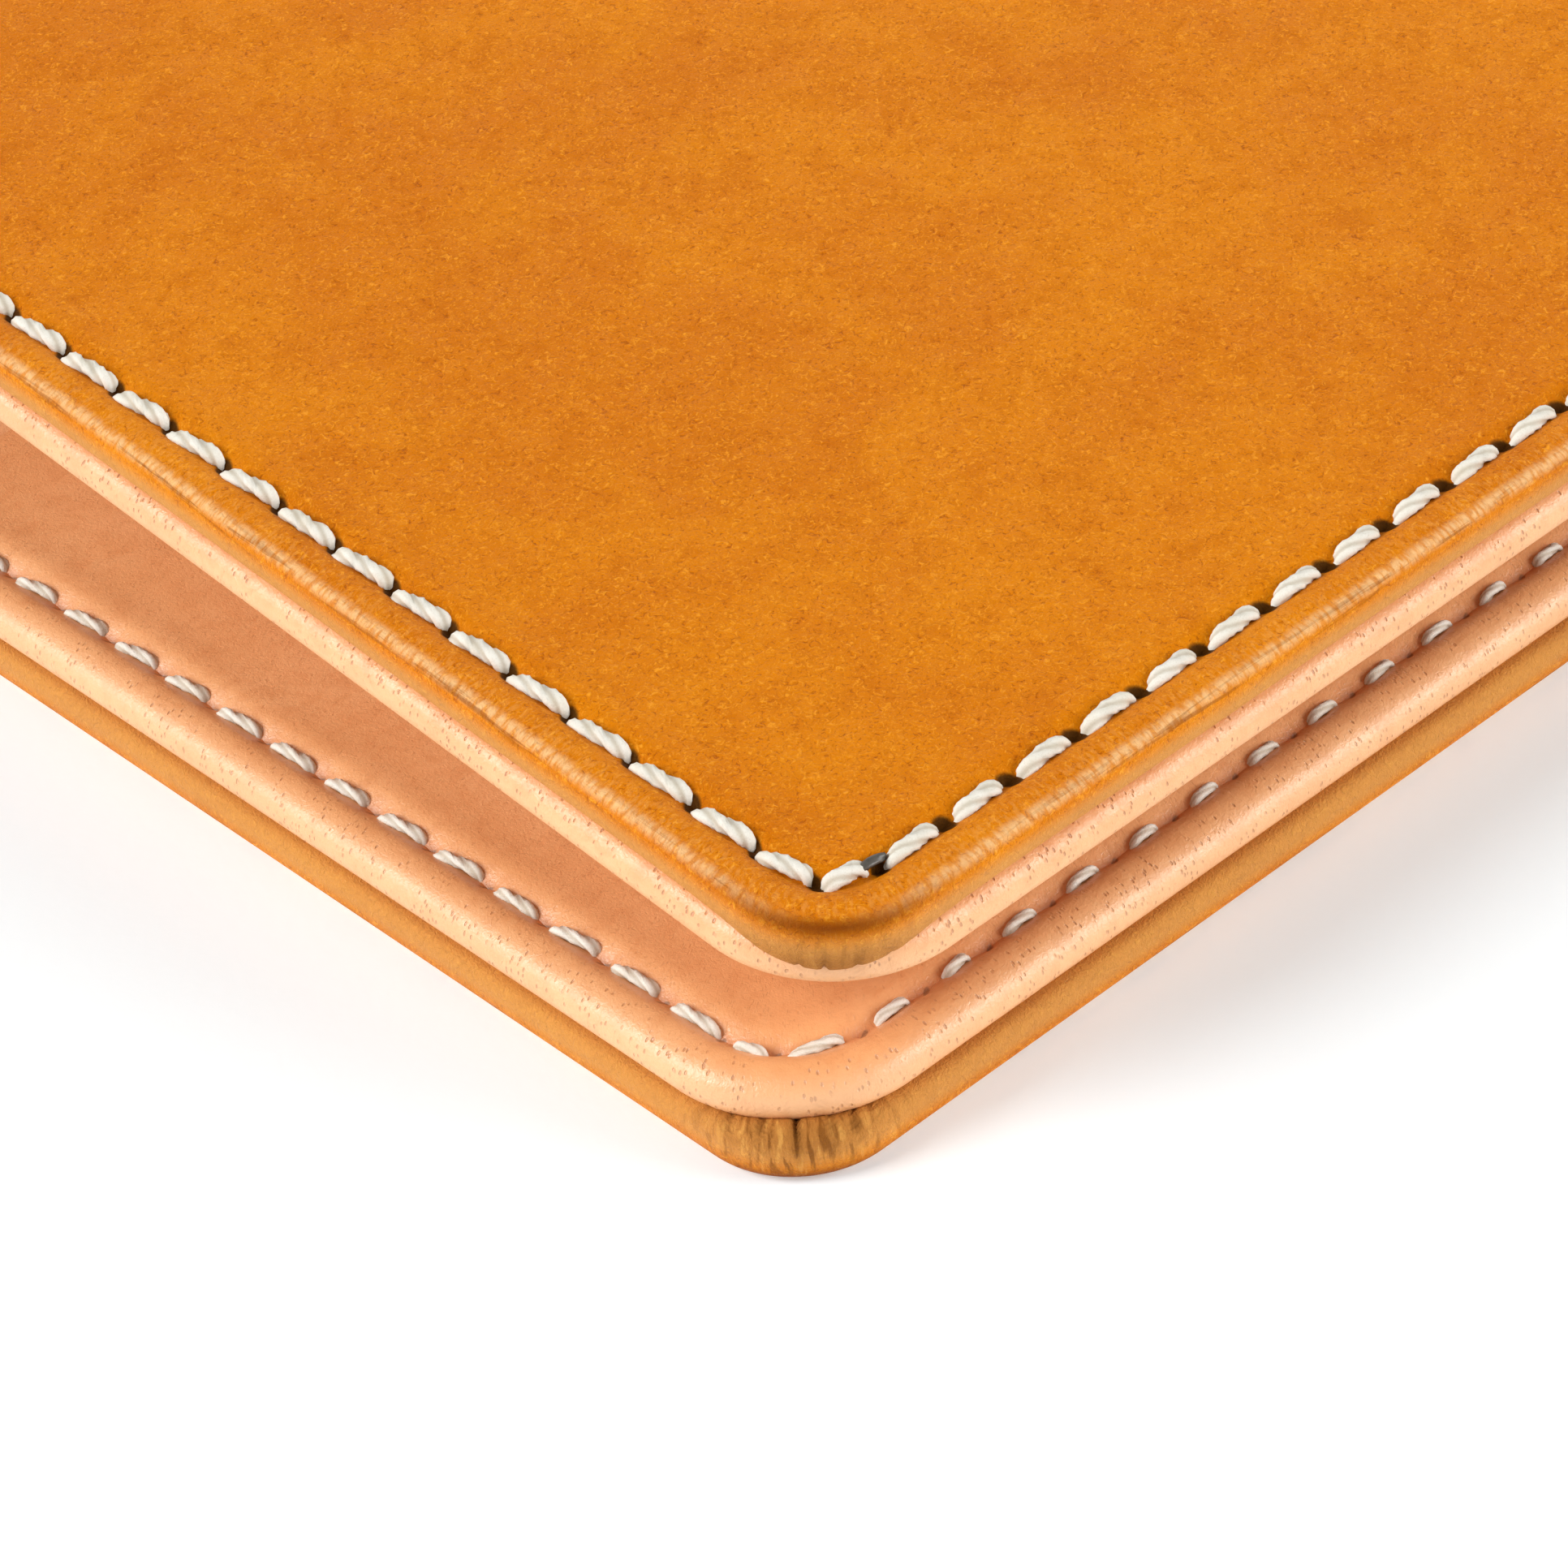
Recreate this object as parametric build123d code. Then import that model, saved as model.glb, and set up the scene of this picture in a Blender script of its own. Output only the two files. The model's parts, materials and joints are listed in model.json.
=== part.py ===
"""Bifold card holder in turned-edge leather, resting slightly open on its back cover.

Row frame: X along the fold, -Y towards the free edges, +Z up, origin under the middle
of the whole holder.  Every piece is drawn flat in a panel frame first: x along the
fold, y away from the panel's hinge line, z inwards from the outer leather's face.
The panel is then folded into its place.  All sizes are in millimetres and degrees.
"""
from build123d import *
import os
from math import cos, radians, sin

# Overall shape
COVER_LENGTH = 102.0     # each cover, along the fold
COVER_WIDTH = 72.0       # each cover, from its hinge line to its free edge
SPINE_WIDTH = 16.2       # between the two hinge lines, round the outside
FRONT_TILT = 5.6         # how far the front cover leans towards the back cover's free edge
FRONT_SKEW = 2.0         # how far the soft front cover lies along the fold from the back one
CORNER_RADIUS = 4.0      # covers' free corners, seen from above

# Sheet thicknesses
LEATHER = 0.65           # outer leather, skived for turning
BOARD = 0.25             # stiffener where the turned hem covers it
LINING = 0.3
SLOT_LEATHER = 0.45      # rear card slot
POCKET_LEATHER = 0.7     # front pocket's face and its turned hem
POCKET_BOARD = 0.25      # paper board inside the front pocket's hem

# Layout on a cover, y measured from the hinge line
SLOT_MOUTH = 11.0        # rear card slot's mouth
POCKET_MOUTH = 20.0      # front pocket's mouth
SLOT_END = 3.0           # rear card slot's bottom to the front pocket's hem
HEM = 7.0                # turned hem of the outer leather
POCKET_HEM = 7.0         # turned hem of the front pocket
MOUTH_MARGIN = 3.0       # bare leather between the pocket's mouth and its board
LINING_INSET = 1.0       # cut edges of lining and slot, hidden behind the rim
FOLD_GAP = 0.6           # outer leather stops this far from a hinge line
FOLD_CLEAR = 2.4         # everything behind it stops this far from a hinge line

# Sewing
STITCH_MARGIN = 2.1      # row of holes, in from the rim
STITCH_PITCH = 3.0
STITCH_CORNER = 2.0      # the row's radius at a free corner
THREAD = 0.6
THREAD_PROUD = 0.35      # thread standing on the inner face
THREAD_FLUSH = 0.02      # thread kept below the outer face

# Clearances
TUCK = 0.1               # cut board or lining to the leather that wraps it
SEW_FIT = 0.05           # thread to the wall of its hole and groove
SLIP = 0.2               # pieces laid edge to edge
SLOT_PLAY = 0.5          # rear slot's stem to the pocket's hem

# Derived levels, z from the outer face
HINGE_DEPTH = LEATHER / 2
RIM = 2 * LEATHER + BOARD
LINING_TOP = RIM + LINING
SLOT_TOP = LINING_TOP + SLOT_LEATHER
POCKET_RIM = 2 * POCKET_LEATHER + POCKET_BOARD
COVER_TOP = LINING_TOP + POCKET_RIM
GROOVE_DEPTH = THREAD_FLUSH + THREAD_PROUD
FOLD_TURN = 90.0 + FRONT_TILT / 2
RIM_ROUND = 0.45         # share of a rim's thickness rounded off at each face
MIN_RADIUS = 1.0         # inner corners of cut-outs


def lift(shape, height):
    return Pos(0, 0, height) * shape


def cover_face(inset, start):
    """A cover's outline, moved in from its three outer edges, cut off at y = start."""
    side = COVER_LENGTH / 2 - inset
    end = COVER_WIDTH - inset
    radius = max(CORNER_RADIUS - inset, MIN_RADIUS)
    edge = FilletPolyline((-side, start), (-side, end), (side, end), (side, start), radius=radius)
    return make_face(edge + Line((side, start), (-side, start)))


def spine_x(y):
    """Middle of the spine at a distance from the lower hinge line."""
    return FRONT_SKEW * (y / SPINE_WIDTH - 0.5)


def spine_face(inset, start):
    """The spine's outline, slanted by the skew, moved in from its two sewn ends."""
    side = COVER_LENGTH / 2 - inset
    end = SPINE_WIDTH - start
    low = spine_x(start)
    high = spine_x(end)
    return make_face(Polyline((low - side, start), (low + side, start), (high + side, end),
                              (high - side, end), (low - side, start)))


def is_rim(edge, start, end):
    """An edge along the outline, not across an open end of the panel."""
    middle = edge.center()
    return abs(middle.Y - start) > MIN_RADIUS / 2 and abs(middle.Y - end) > MIN_RADIUS / 2


def turned_sheet(face, start, end, leather, board, hem, mouth=0.0):
    """A sheet whose edges are turned back over a board: a slab with a rounded rim, hollowed.

    The hollow is the board's thin space under the hem and the opening inside the hem.
    """
    rim = 2 * leather + board
    slab = extrude(face(0, start), rim)
    level = slab.edges().filter_by(lambda e: abs(e.tangent_at(0.5).Z) < 0.5)
    turned = [e for e in level if is_rim(e, start, end)]
    slab = fillet(turned, rim * RIM_ROUND)
    board_space = lift(extrude(face(leather, start + mouth), board), leather)
    opening = lift(extrude(face(hem, start), leather + board), leather)
    return slab - board_space - opening


def stepped_board(face, start):
    """Stiffener, skived thin under the hem so that the hem lies level with its middle."""
    thin = lift(extrude(face(LEATHER + TUCK, start), BOARD), LEATHER)
    full = lift(extrude(face(HEM + TUCK, start), BOARD + LEATHER), LEATHER)
    return thin + full


def cover_row():
    """The line of stitches round three sides of a cover."""
    side = COVER_LENGTH / 2 - STITCH_MARGIN
    end = COVER_WIDTH - STITCH_MARGIN
    start = FOLD_CLEAR + THREAD
    return FilletPolyline((-side, start), (-side, end), (side, end), (side, start), radius=STITCH_CORNER)


def spine_row(sign):
    """The line of stitches across one end of the spine."""
    side = sign * (COVER_LENGTH / 2 - STITCH_MARGIN)
    start = FOLD_CLEAR + THREAD
    end = SPINE_WIDTH - start
    return Line((spine_x(start) + side, start), (spine_x(end) + side, end))


def stitch_points(row):
    count = round(row.length / STITCH_PITCH)
    return [row.position_at(i / count) for i in range(count + 1)]


def holes(row):
    """Awl holes through every sewn layer."""
    radius = THREAD / 2 + SEW_FIT
    height = COVER_TOP + 2 * THREAD
    awls = [Pos(p.X, p.Y, COVER_TOP / 2) * Cylinder(radius, height) for p in stitch_points(row)]
    return Part(children=awls)


def groove(row):
    """The crease that the outer stitches lie in."""
    return extrude(trace(row, THREAD + 2 * SEW_FIT), GROOVE_DEPTH)


def ladder(row, zones):
    """One thread: a run on the outer face, runs on the inner faces and a leg in each hole.

    zones lists (y start, y end, height of the inner face) along the panel.
    """
    band = trace(row, THREAD)
    thread = lift(extrude(band, THREAD_PROUD), THREAD_FLUSH)
    for start, end, face in zones:
        strip = Pos(0, (start + end) / 2, face + THREAD_PROUD / 2)
        thread += lift(extrude(band, THREAD_PROUD), face) & (strip * Box(2 * COVER_LENGTH, end - start, THREAD))
    legs = []
    for point in stitch_points(row):
        for start, end, face in zones:
            if start <= point.Y <= end:
                height = face + THREAD_PROUD / 2 - THREAD_FLUSH
                legs.append(Pos(point.X, point.Y, THREAD_FLUSH + height / 2) * Cylinder(THREAD / 2, height))
    return thread + legs


def cover_pieces():
    """Every piece of one cover, flat in its panel frame."""
    row = cover_row()
    awls = holes(row)
    leather = turned_sheet(cover_face, FOLD_GAP, COVER_WIDTH * 2, LEATHER, BOARD, HEM)
    fold_relief = Pos(0, FOLD_CLEAR / 2, LEATHER + RIM) * Box(2 * COVER_LENGTH, FOLD_CLEAR, 2 * RIM)
    lining = lift(extrude(cover_face(LINING_INSET, FOLD_CLEAR), LINING), RIM)

    ear_end = POCKET_MOUTH - SLIP
    slot_outline = cover_face(LINING_INSET, SLOT_MOUTH)
    ears = Pos(0, (SLOT_MOUTH + ear_end) / 2) * Rectangle(2 * COVER_LENGTH, ear_end - SLOT_MOUTH)
    stem_half = COVER_LENGTH / 2 - POCKET_HEM - SLOT_PLAY
    stem_end = COVER_WIDTH - POCKET_HEM - SLOT_END
    stem = Pos(0, (SLOT_MOUTH + stem_end) / 2) * Rectangle(2 * stem_half, stem_end - SLOT_MOUTH)
    slot = lift(extrude((slot_outline & ears) + stem, SLOT_LEATHER), LINING_TOP)

    pocket = turned_sheet(cover_face, POCKET_MOUTH, COVER_WIDTH * 2,
                          POCKET_LEATHER, POCKET_BOARD, POCKET_HEM, MOUTH_MARGIN)
    pocket = Pos(0, 0, COVER_TOP) * mirror(pocket, about=Plane.XY)
    board_face = cover_face(POCKET_LEATHER + TUCK, POCKET_MOUTH + MOUTH_MARGIN + TUCK)
    pocket_board = lift(extrude(board_face, POCKET_BOARD), COVER_TOP - POCKET_LEATHER - POCKET_BOARD)

    zones = [(FOLD_CLEAR, SLOT_MOUTH - SLIP, LINING_TOP),
             (SLOT_MOUTH, POCKET_MOUTH - 2 * SLIP, SLOT_TOP),
             (POCKET_MOUTH, COVER_WIDTH, COVER_TOP)]
    return {
        "outer_leather": leather - fold_relief - awls - groove(row),
        "stiffener": stepped_board(cover_face, FOLD_CLEAR) - awls,
        "lining": lining - awls,
        "card_slot": slot - awls,
        "pocket_board": pocket_board - awls,
        "pocket_panel": pocket - awls,
        "rim_thread": ladder(row, zones),
    }


def spine_pieces():
    """Every piece of the spine, flat in its panel frame."""
    rows = [spine_row(-1), spine_row(1)]
    leather = turned_sheet(spine_face, FOLD_GAP, SPINE_WIDTH - FOLD_GAP, LEATHER, BOARD, HEM)
    lining = lift(extrude(spine_face(LINING_INSET, FOLD_CLEAR), LINING), RIM)
    board = stepped_board(spine_face, FOLD_CLEAR)
    for y in (FOLD_CLEAR / 2, SPINE_WIDTH - FOLD_CLEAR / 2):
        leather -= Pos(0, y, LEATHER + RIM) * Box(2 * COVER_LENGTH, FOLD_CLEAR, 2 * RIM)
    threads = []
    for row in rows:
        leather = leather - holes(row) - groove(row)
        board -= holes(row)
        lining -= holes(row)
        threads += ladder(row, [(FOLD_CLEAR, SPINE_WIDTH - FOLD_CLEAR, LINING_TOP)]).solids()
    return {
        "outer_leather": leather,
        "reinforcement": board,
        "lining": lining,
        "end_threads": Compound(children=threads),
    }


def folded(origin, x_dir, z_dir):
    """Where a panel's frame stands, with its hinge line through origin."""
    plane = Plane(origin=origin, x_dir=x_dir, z_dir=z_dir)
    return plane.location * Pos(0, 0, -HINGE_DEPTH)


# The fold seen from its end: directions in the Y-Z plane, turned up from the flat
spine_dir = Vector(0, cos(radians(FOLD_TURN)), sin(radians(FOLD_TURN)))
spine_in = Vector(0, -sin(radians(FOLD_TURN)), cos(radians(FOLD_TURN)))
front_in = Vector(0, -sin(radians(2 * FOLD_TURN)), cos(radians(2 * FOLD_TURN)))
front_reach = COVER_WIDTH * cos(radians(FRONT_TILT)) + SPINE_WIDTH * sin(radians(FRONT_TILT / 2))
fold_y = (front_reach - HINGE_DEPTH) / 2
lower_hinge = Vector(0, fold_y, HINGE_DEPTH)
upper_hinge = lower_hinge + SPINE_WIDTH * spine_dir

places = {
    "back": folded(lower_hinge + Vector(-FRONT_SKEW / 2, 0, 0), (-1, 0, 0), (0, 0, 1)),
    "spine": folded(lower_hinge, (1, 0, 0), spine_in),
    "front": folded(upper_hinge + Vector(FRONT_SKEW / 2, 0, 0), (1, 0, 0), front_in),
}

os.makedirs("parts", exist_ok=True)
cover = cover_pieces()
panels = {"back": cover, "spine": spine_pieces(), "front": cover}
for panel, pieces in panels.items():
    for name, piece in pieces.items():
        export_step(places[panel] * piece, f"parts/{panel}_{name}.step")
print("lower hinge", lower_hinge, "upper hinge", upper_hinge)
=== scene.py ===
# %% [markdown]
# # A turned-edge leather card holder
# Two leather covers joined by a soft spine, resting a little open on the back cover.
# Each cover is a sandwich: amber outer leather with its edge turned back over a board,
# a thin lining, a card slot, and a tan pocket panel with a turned edge of its own.
# One row of waxed thread goes right round and holds every layer.
# The CAD frame gives the sizes and the hinge lines, and this script makes the looks.

# %% Load the frame
import json
import bpy
import numpy as np
from mathutils import Euler, Matrix, Vector


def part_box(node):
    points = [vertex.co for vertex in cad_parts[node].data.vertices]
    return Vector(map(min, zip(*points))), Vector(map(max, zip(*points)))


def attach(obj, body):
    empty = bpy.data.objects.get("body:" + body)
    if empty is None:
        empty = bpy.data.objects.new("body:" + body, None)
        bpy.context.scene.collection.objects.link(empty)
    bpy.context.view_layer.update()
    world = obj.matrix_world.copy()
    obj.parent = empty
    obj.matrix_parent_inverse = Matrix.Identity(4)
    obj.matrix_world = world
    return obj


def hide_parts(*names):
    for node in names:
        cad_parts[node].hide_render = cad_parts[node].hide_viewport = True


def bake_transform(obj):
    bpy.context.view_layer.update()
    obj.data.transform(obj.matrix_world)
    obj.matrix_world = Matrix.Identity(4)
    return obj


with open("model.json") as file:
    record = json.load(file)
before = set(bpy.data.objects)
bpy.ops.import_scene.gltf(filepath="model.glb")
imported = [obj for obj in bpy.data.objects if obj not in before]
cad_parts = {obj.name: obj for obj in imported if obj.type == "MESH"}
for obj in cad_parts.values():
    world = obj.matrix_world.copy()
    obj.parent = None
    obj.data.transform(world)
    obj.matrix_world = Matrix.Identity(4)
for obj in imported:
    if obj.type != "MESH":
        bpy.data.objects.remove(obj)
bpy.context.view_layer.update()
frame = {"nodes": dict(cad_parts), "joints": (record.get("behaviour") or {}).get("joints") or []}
nodes = frame["nodes"]
print("CAD nodes:", len(nodes))

# %% [markdown]
# ## Sizes
# The frame is in metres and leather work is in millimetres, so the sizes below are in
# millimetres and every mesh is scaled once, at the end. What the frame knows is measured
# from it: the two hinge lines, the length and width of a cover, the tilt of the front cover.

# %% Sizes measured from the frame
MM = 0.001


def node_box(name):
    low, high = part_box(name)
    return np.array(low) / MM, np.array(high) / MM


hinge = {joint["name"]: np.array(joint["pos_m"]) / MM for joint in frame["joints"]}
lower_hinge = hinge["back_fold"]
upper_hinge = hinge["front_fold"]
back_low, back_high = node_box("back_outer_leather")
front_low, _ = node_box("front_outer_leather")
COVER_LENGTH = back_high[0] - back_low[0]
COVER_WIDTH = lower_hinge[1] - back_low[1]
SKEW = (front_low[0] - back_low[0]) / 2
RIM = back_high[2] - back_low[2]
COVER_TOP = node_box("back_pocket_panel")[1][2]
spine_line = upper_hinge - lower_hinge
SPINE_WIDTH = float(np.hypot(spine_line[1], spine_line[2]))
TURN = float(np.arctan2(spine_line[2], spine_line[1]))
HINGE_DEPTH = lower_hinge[2]
print("cover", COVER_LENGTH, "x", COVER_WIDTH, "spine", SPINE_WIDTH, "turn", np.degrees(TURN))

# %% Sizes of the leather work
LEATHER = 2 * HINGE_DEPTH                            # outer leather's thickness
BOARD = RIM - 2 * LEATHER                            # stiffener under the turned hem
LINING = node_box("back_lining")[1][2] - RIM
POCKET_LEATHER = 0.7
POCKET_RIM = COVER_TOP - RIM - LINING
POCKET_BOARD = POCKET_RIM - 2 * POCKET_LEATHER
SLOT_LEVEL = node_box("back_card_slot")[0][2]
SLOT_LEATHER = node_box("back_card_slot")[1][2] - SLOT_LEVEL
HEM = 7.0
POCKET_MOUTH = lower_hinge[1] - node_box("back_pocket_panel")[1][1]
SLOT_MOUTH = lower_hinge[1] - node_box("back_card_slot")[1][1]
SLOT_BOTTOM = lower_hinge[1] - node_box("back_card_slot")[0][1]
MARGIN = 2.1                                         # stitch row, in from the rim
PITCH = 3.0
CORNER = 4.0                                         # radius of a cover's free corners
POCKET_CORNER = 5.6                                  # the pocket panel's corners are rounder
FOLD_RADIUS = 2.6                                    # outside of each soft fold
print("rim", RIM, "cover top", COVER_TOP, "pocket mouth", POCKET_MOUTH, "slot", SLOT_MOUTH, SLOT_BOTTOM)

# %% [markdown]
# ## Camera and light
# The object is seen from above one free corner, from close by and with a long lens, so
# that both rims run up and away from the corner. Two wide suns, one from the left and
# one from the right, a pale sky and a faintly glowing floor make a bright white table.

# %% Camera
AZIMUTH = np.radians(-38.67)
ELEVATION = np.radians(38.65)
ROLL = np.radians(-6.82)
LOOK_AT = Vector((-39.74, -22.62, 3.5)) * MM
DISTANCE = 190.6 * MM
SENSOR_WIDTH = 36.0
FIELD_OF_VIEW = np.radians(16.16)
NEAREST = 0.005                                      # metres; nothing closer is drawn

camera_data = bpy.data.cameras.new("camera")
camera = bpy.data.objects.new("camera", camera_data)
bpy.context.scene.collection.objects.link(camera)
camera_data.sensor_width = SENSOR_WIDTH
camera_data.angle = FIELD_OF_VIEW
camera_data.clip_start = NEAREST
turn_camera = (Euler((np.pi / 2 - ELEVATION, 0, AZIMUTH)).to_matrix()
               @ Matrix.Rotation(ROLL, 3, "Z"))
stand = LOOK_AT + turn_camera @ Vector((0, 0, DISTANCE))
camera.matrix_world = Matrix.Translation(stand) @ turn_camera.to_4x4()
bpy.context.scene.camera = camera
print("camera at", [round(c / MM, 1) for c in camera.matrix_world.translation])


# %% Lamps
LAMP_SPREAD = np.radians(34)                         # a wide sun throws a soft shadow


def soft_sun(name, place, power):
    """A wide sun: even light over the whole table, from the direction of `place`."""
    data = bpy.data.lights.new(name, "SUN")
    data.energy = power
    data.angle = LAMP_SPREAD
    lamp = bpy.data.objects.new(name, data)
    bpy.context.scene.collection.objects.link(lamp)
    lamp.location = Vector(place)
    lamp.rotation_euler = (-lamp.location).to_track_quat("-Z", "Y").to_euler()
    return lamp


soft_sun("lamp_side", (-0.60, 0.37, 0.49), 3.0)
soft_sun("lamp_front", (0.50, -0.66, 0.33), 2.15)

# %% Floor and sky
FLOOR_SIZE = 6.0                                     # metres
FLOOR_FLAT = 1.5                                     # flat this far out, then it sweeps up
FLOOR_CELLS = 48
SWEEP = 0.4                                          # how steeply it rises beyond the flat part
SKY_COLOUR = (1.0, 0.99, 0.975, 1)
SKY_STRENGTH = 0.24
SINK = 0.15                                          # the sewn underside stands this proud of its hem


def swept_floor():
    """Pale studio paper: flat under the object, rising far away so that no horizon shows."""
    bpy.ops.object.select_all(action="DESELECT")
    bpy.ops.mesh.primitive_grid_add(x_subdivisions=FLOOR_CELLS, y_subdivisions=FLOOR_CELLS, size=FLOOR_SIZE)
    sheet = bpy.context.object
    sheet.name = "floor"
    for vertex in sheet.data.vertices:
        beyond = max(vertex.co.xy.length - FLOOR_FLAT, 0)
        vertex.co.z = SWEEP * beyond ** 2 - SINK * MM
    bpy.ops.object.shade_smooth()
    sheet.visible_shadow = False                     # the far slope must not shade the low lamps
    return sheet


floor = swept_floor()
world = bpy.data.worlds.new("studio")
bpy.context.scene.world = world
world.use_nodes = True
sky = world.node_tree.nodes["Background"]
sky.inputs["Color"].default_value = SKY_COLOUR
sky.inputs["Strength"].default_value = SKY_STRENGTH
bpy.context.scene.view_settings.view_transform = "Standard"
print("floor", FLOOR_SIZE, "m wide")

# %% [markdown]
# ## The fold
# Leather doesn't crease sharply: it goes round each fold on an arc. Every sheet is
# therefore laid out flat first, with x along the fold, w away from the hinge line towards
# the free edge (and negative on the spine), and z inwards from the outer face. One
# function then bends the flat layout round the fold and stands it in its place. The same
# function serves leather, lining and thread, so the layers stay together in the bend.

# %% Bend a flat layout round a fold
SKEW_EASE = 3.0                                      # the skew is spread this far past the fold
corner_shift = HINGE_DEPTH * np.tan(TURN / 2)
tangent = FOLD_RADIUS * np.tan(TURN / 2)
FLAT_START = tangent - corner_shift                  # the cover is flat from here on
ARC_LENGTH = FOLD_RADIUS * TURN
MID_SPINE = FLAT_START - ARC_LENGTH - (SPINE_WIDTH / 2 + corner_shift - tangent)


def bend(w, z):
    """Goes from (w, z) in the flat layout to (w, z) bent round the fold."""
    angle = np.clip((FLAT_START - w) / FOLD_RADIUS, 0, TURN)
    beyond = np.maximum(FLAT_START - ARC_LENGTH - w, 0)
    before = np.maximum(w - FLAT_START, 0)
    radius = FOLD_RADIUS - z
    w_bent = FLAT_START + before - radius * np.sin(angle) - beyond * np.cos(TURN)
    z_bent = FOLD_RADIUS - radius * np.cos(angle) + beyond * np.sin(TURN)
    return w_bent, z_bent


def place(side, x, w, z):
    """Row-frame points, in millimetres, of flat points on the "back" or the "front" cover."""
    w_bent, z_bent = bend(np.asarray(w, float), np.asarray(z, float))
    ease = np.clip((w - MID_SPINE) / (FLAT_START + SKEW_EASE - MID_SPINE), 0, 1)
    shift = SKEW * ease * (2 - ease)
    if side == "back":
        out = np.array((0.0, -1.0, 0.0))
        inward = np.array((0.0, 0.0, 1.0))
        start = lower_hinge
        shift = -shift
    else:
        out = np.array((0.0, np.cos(2 * TURN), np.sin(2 * TURN)))
        inward = np.array((0.0, -np.sin(2 * TURN), np.cos(2 * TURN)))
        start = upper_hinge
    points = start + np.multiply.outer(w_bent, out) + np.multiply.outer(z_bent - HINGE_DEPTH, inward)
    points[..., 0] = x + shift
    return points


print("flat from", round(FLAT_START, 2), "mm, middle of the spine at", round(MID_SPINE, 2), "mm")

# %% [markdown]
# ## The stitch row
# The maker marks one row of slits along the rim and sews it with a saddle stitch. The row
# has rounded corners, and the slits close to a corner aren't quite on the regular pitch,
# because both straight rows are walked in from their own ends. A place on the row is its
# length from the middle of the first corner: negative up the end edge to the spine,
# positive along the free edge, round the second corner and up the other end.

# %% Holes along the row
ROW_RADIUS = CORNER - MARGIN
ROW_HALF = COVER_LENGTH / 2 - MARGIN
ROW_END = COVER_WIDTH - MARGIN
arc_half = ROW_RADIUS * np.pi / 4
arc_saving = ROW_RADIUS - arc_half                   # what rounding the corner saves on each side
ROW_SPAN = 2 * (ROW_HALF - arc_saving)               # from corner to corner
ROW_REACH = ROW_END - MID_SPINE - arc_saving         # from a corner to the middle of the spine
CORNER_HOLES = {"front": (-2.99, -0.37, 1.85, 4.79), "back": (-2.69, -0.61, 2.66)}


def row_holes(side):
    """Where the slits are, as lengths along the row, from mid-spine to mid-spine."""
    first, *between, last = CORNER_HOLES[side]
    up_count = int((ROW_REACH + first) / PITCH)
    up_pitch = (ROW_REACH + first) / (up_count + 0.5)
    up = first - up_pitch * np.arange(up_count, 0, -1)
    along_count = round((ROW_SPAN - 2 * last) / PITCH)
    along = np.linspace(last, ROW_SPAN - last, along_count + 1)
    corner = np.array([first, *between])
    return np.concatenate((up, corner, along, ROW_SPAN - corner[::-1], ROW_SPAN - up[::-1]))


def row_point(length):
    """Flat x and w of a place on the row, with the direction towards the rim there."""
    length = np.asarray(length, float)
    second = length > ROW_SPAN / 2
    near = np.where(second, ROW_SPAN - length, length)
    angle = np.clip(near / ROW_RADIUS, -np.pi / 4, np.pi / 4) + np.pi / 4
    past = np.abs(near) - arc_half
    x = -ROW_HALF + ROW_RADIUS * (1 - np.cos(angle)) + np.where(near > 0, np.maximum(past, 0), 0)
    w = ROW_END - ROW_RADIUS * (1 - np.sin(angle)) - np.where(near < 0, np.maximum(past, 0), 0)
    flip = np.where(second, -1.0, 1.0)
    return x * flip, w, np.stack((-np.cos(angle) * flip, np.sin(angle)), -1)


holes = {side: row_holes(side) for side in ("back", "front")}
print("holes:", {side: len(row) for side, row in holes.items()})

# %% [markdown]
# ## A sheet with a turned edge
# On the real holder the outer leather is skived thin, folded back round the board on
# three sides and glued. It could be modelled as a bevelled slab, but then the rim would
# have no inside, no hem and no soft shape. Here it is made as it is sewn: a flat grid is
# given the leather's thickness, and its outer rings are turned under. Each ring has a
# station on the edge's section: the hem below, then round the rim, then the face. The
# corners of the rings are rounded in plan, and the face is pressed down along the row.

# %% Section of a turned edge
BEAD_STEPS = 15


def turned_section(leather, board, hem, bead, squareness, reach):
    """Stations from the hem's cut edge, round the rim, to `reach` mm in on the face.

    Returns the distance in from the rim and the depth, for the grain side and the flesh side.
    """
    rim = 2 * leather + board
    turn = np.radians(np.linspace(90, -90, BEAD_STEPS))
    out = np.abs(np.cos(turn)) ** (2 / squareness)
    rise = np.sign(np.sin(turn)) * np.abs(np.sin(turn)) ** (2 / squareness)
    under = np.array((hem, 0.72 * hem, 0.45 * hem, MARGIN + 0.4, MARGIN, MARGIN - 0.4, bead + 0.35))
    face = bead + (reach - bead) * (np.arange(1, 25) / 24) ** 1.7
    inset = np.concatenate((under, bead * (1 - out), face))
    depth = np.concatenate((np.full(len(under), rim), rim / 2 * (1 + rise), np.zeros(len(face))))
    flesh_inset = np.hypot(inset, leather)
    flesh_depth = np.concatenate((np.full(len(under), rim - leather), rim / 2 + board / 2 * rise,
                                  np.full(len(face), leather)))
    return inset, depth, flesh_inset, flesh_depth


print("stations on the section:", len(turned_section(LEATHER, BOARD, HEM, 0.6, 2.8, 9.0)[0]))


# %% Lines of the grid, tied to the holes
GAP_SHARES = np.array((0, 0.1, 0.37, 0.63, 0.9))     # finer beside the holes
SMOOTH_UP_TO = np.radians(50)


def lines_between(marks, start, stop):
    """Grid lines from start to stop that pass through the marks, with lines in each gap."""
    inner = marks[(marks > start + 0.6) & (marks < stop - 0.6)]
    knots = np.concatenate(([start], np.sort(inner), [stop]))
    lines = [a + (b - a) * GAP_SHARES for a, b in zip(knots[:-1], knots[1:])]
    return np.concatenate((*lines, [stop]))


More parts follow.
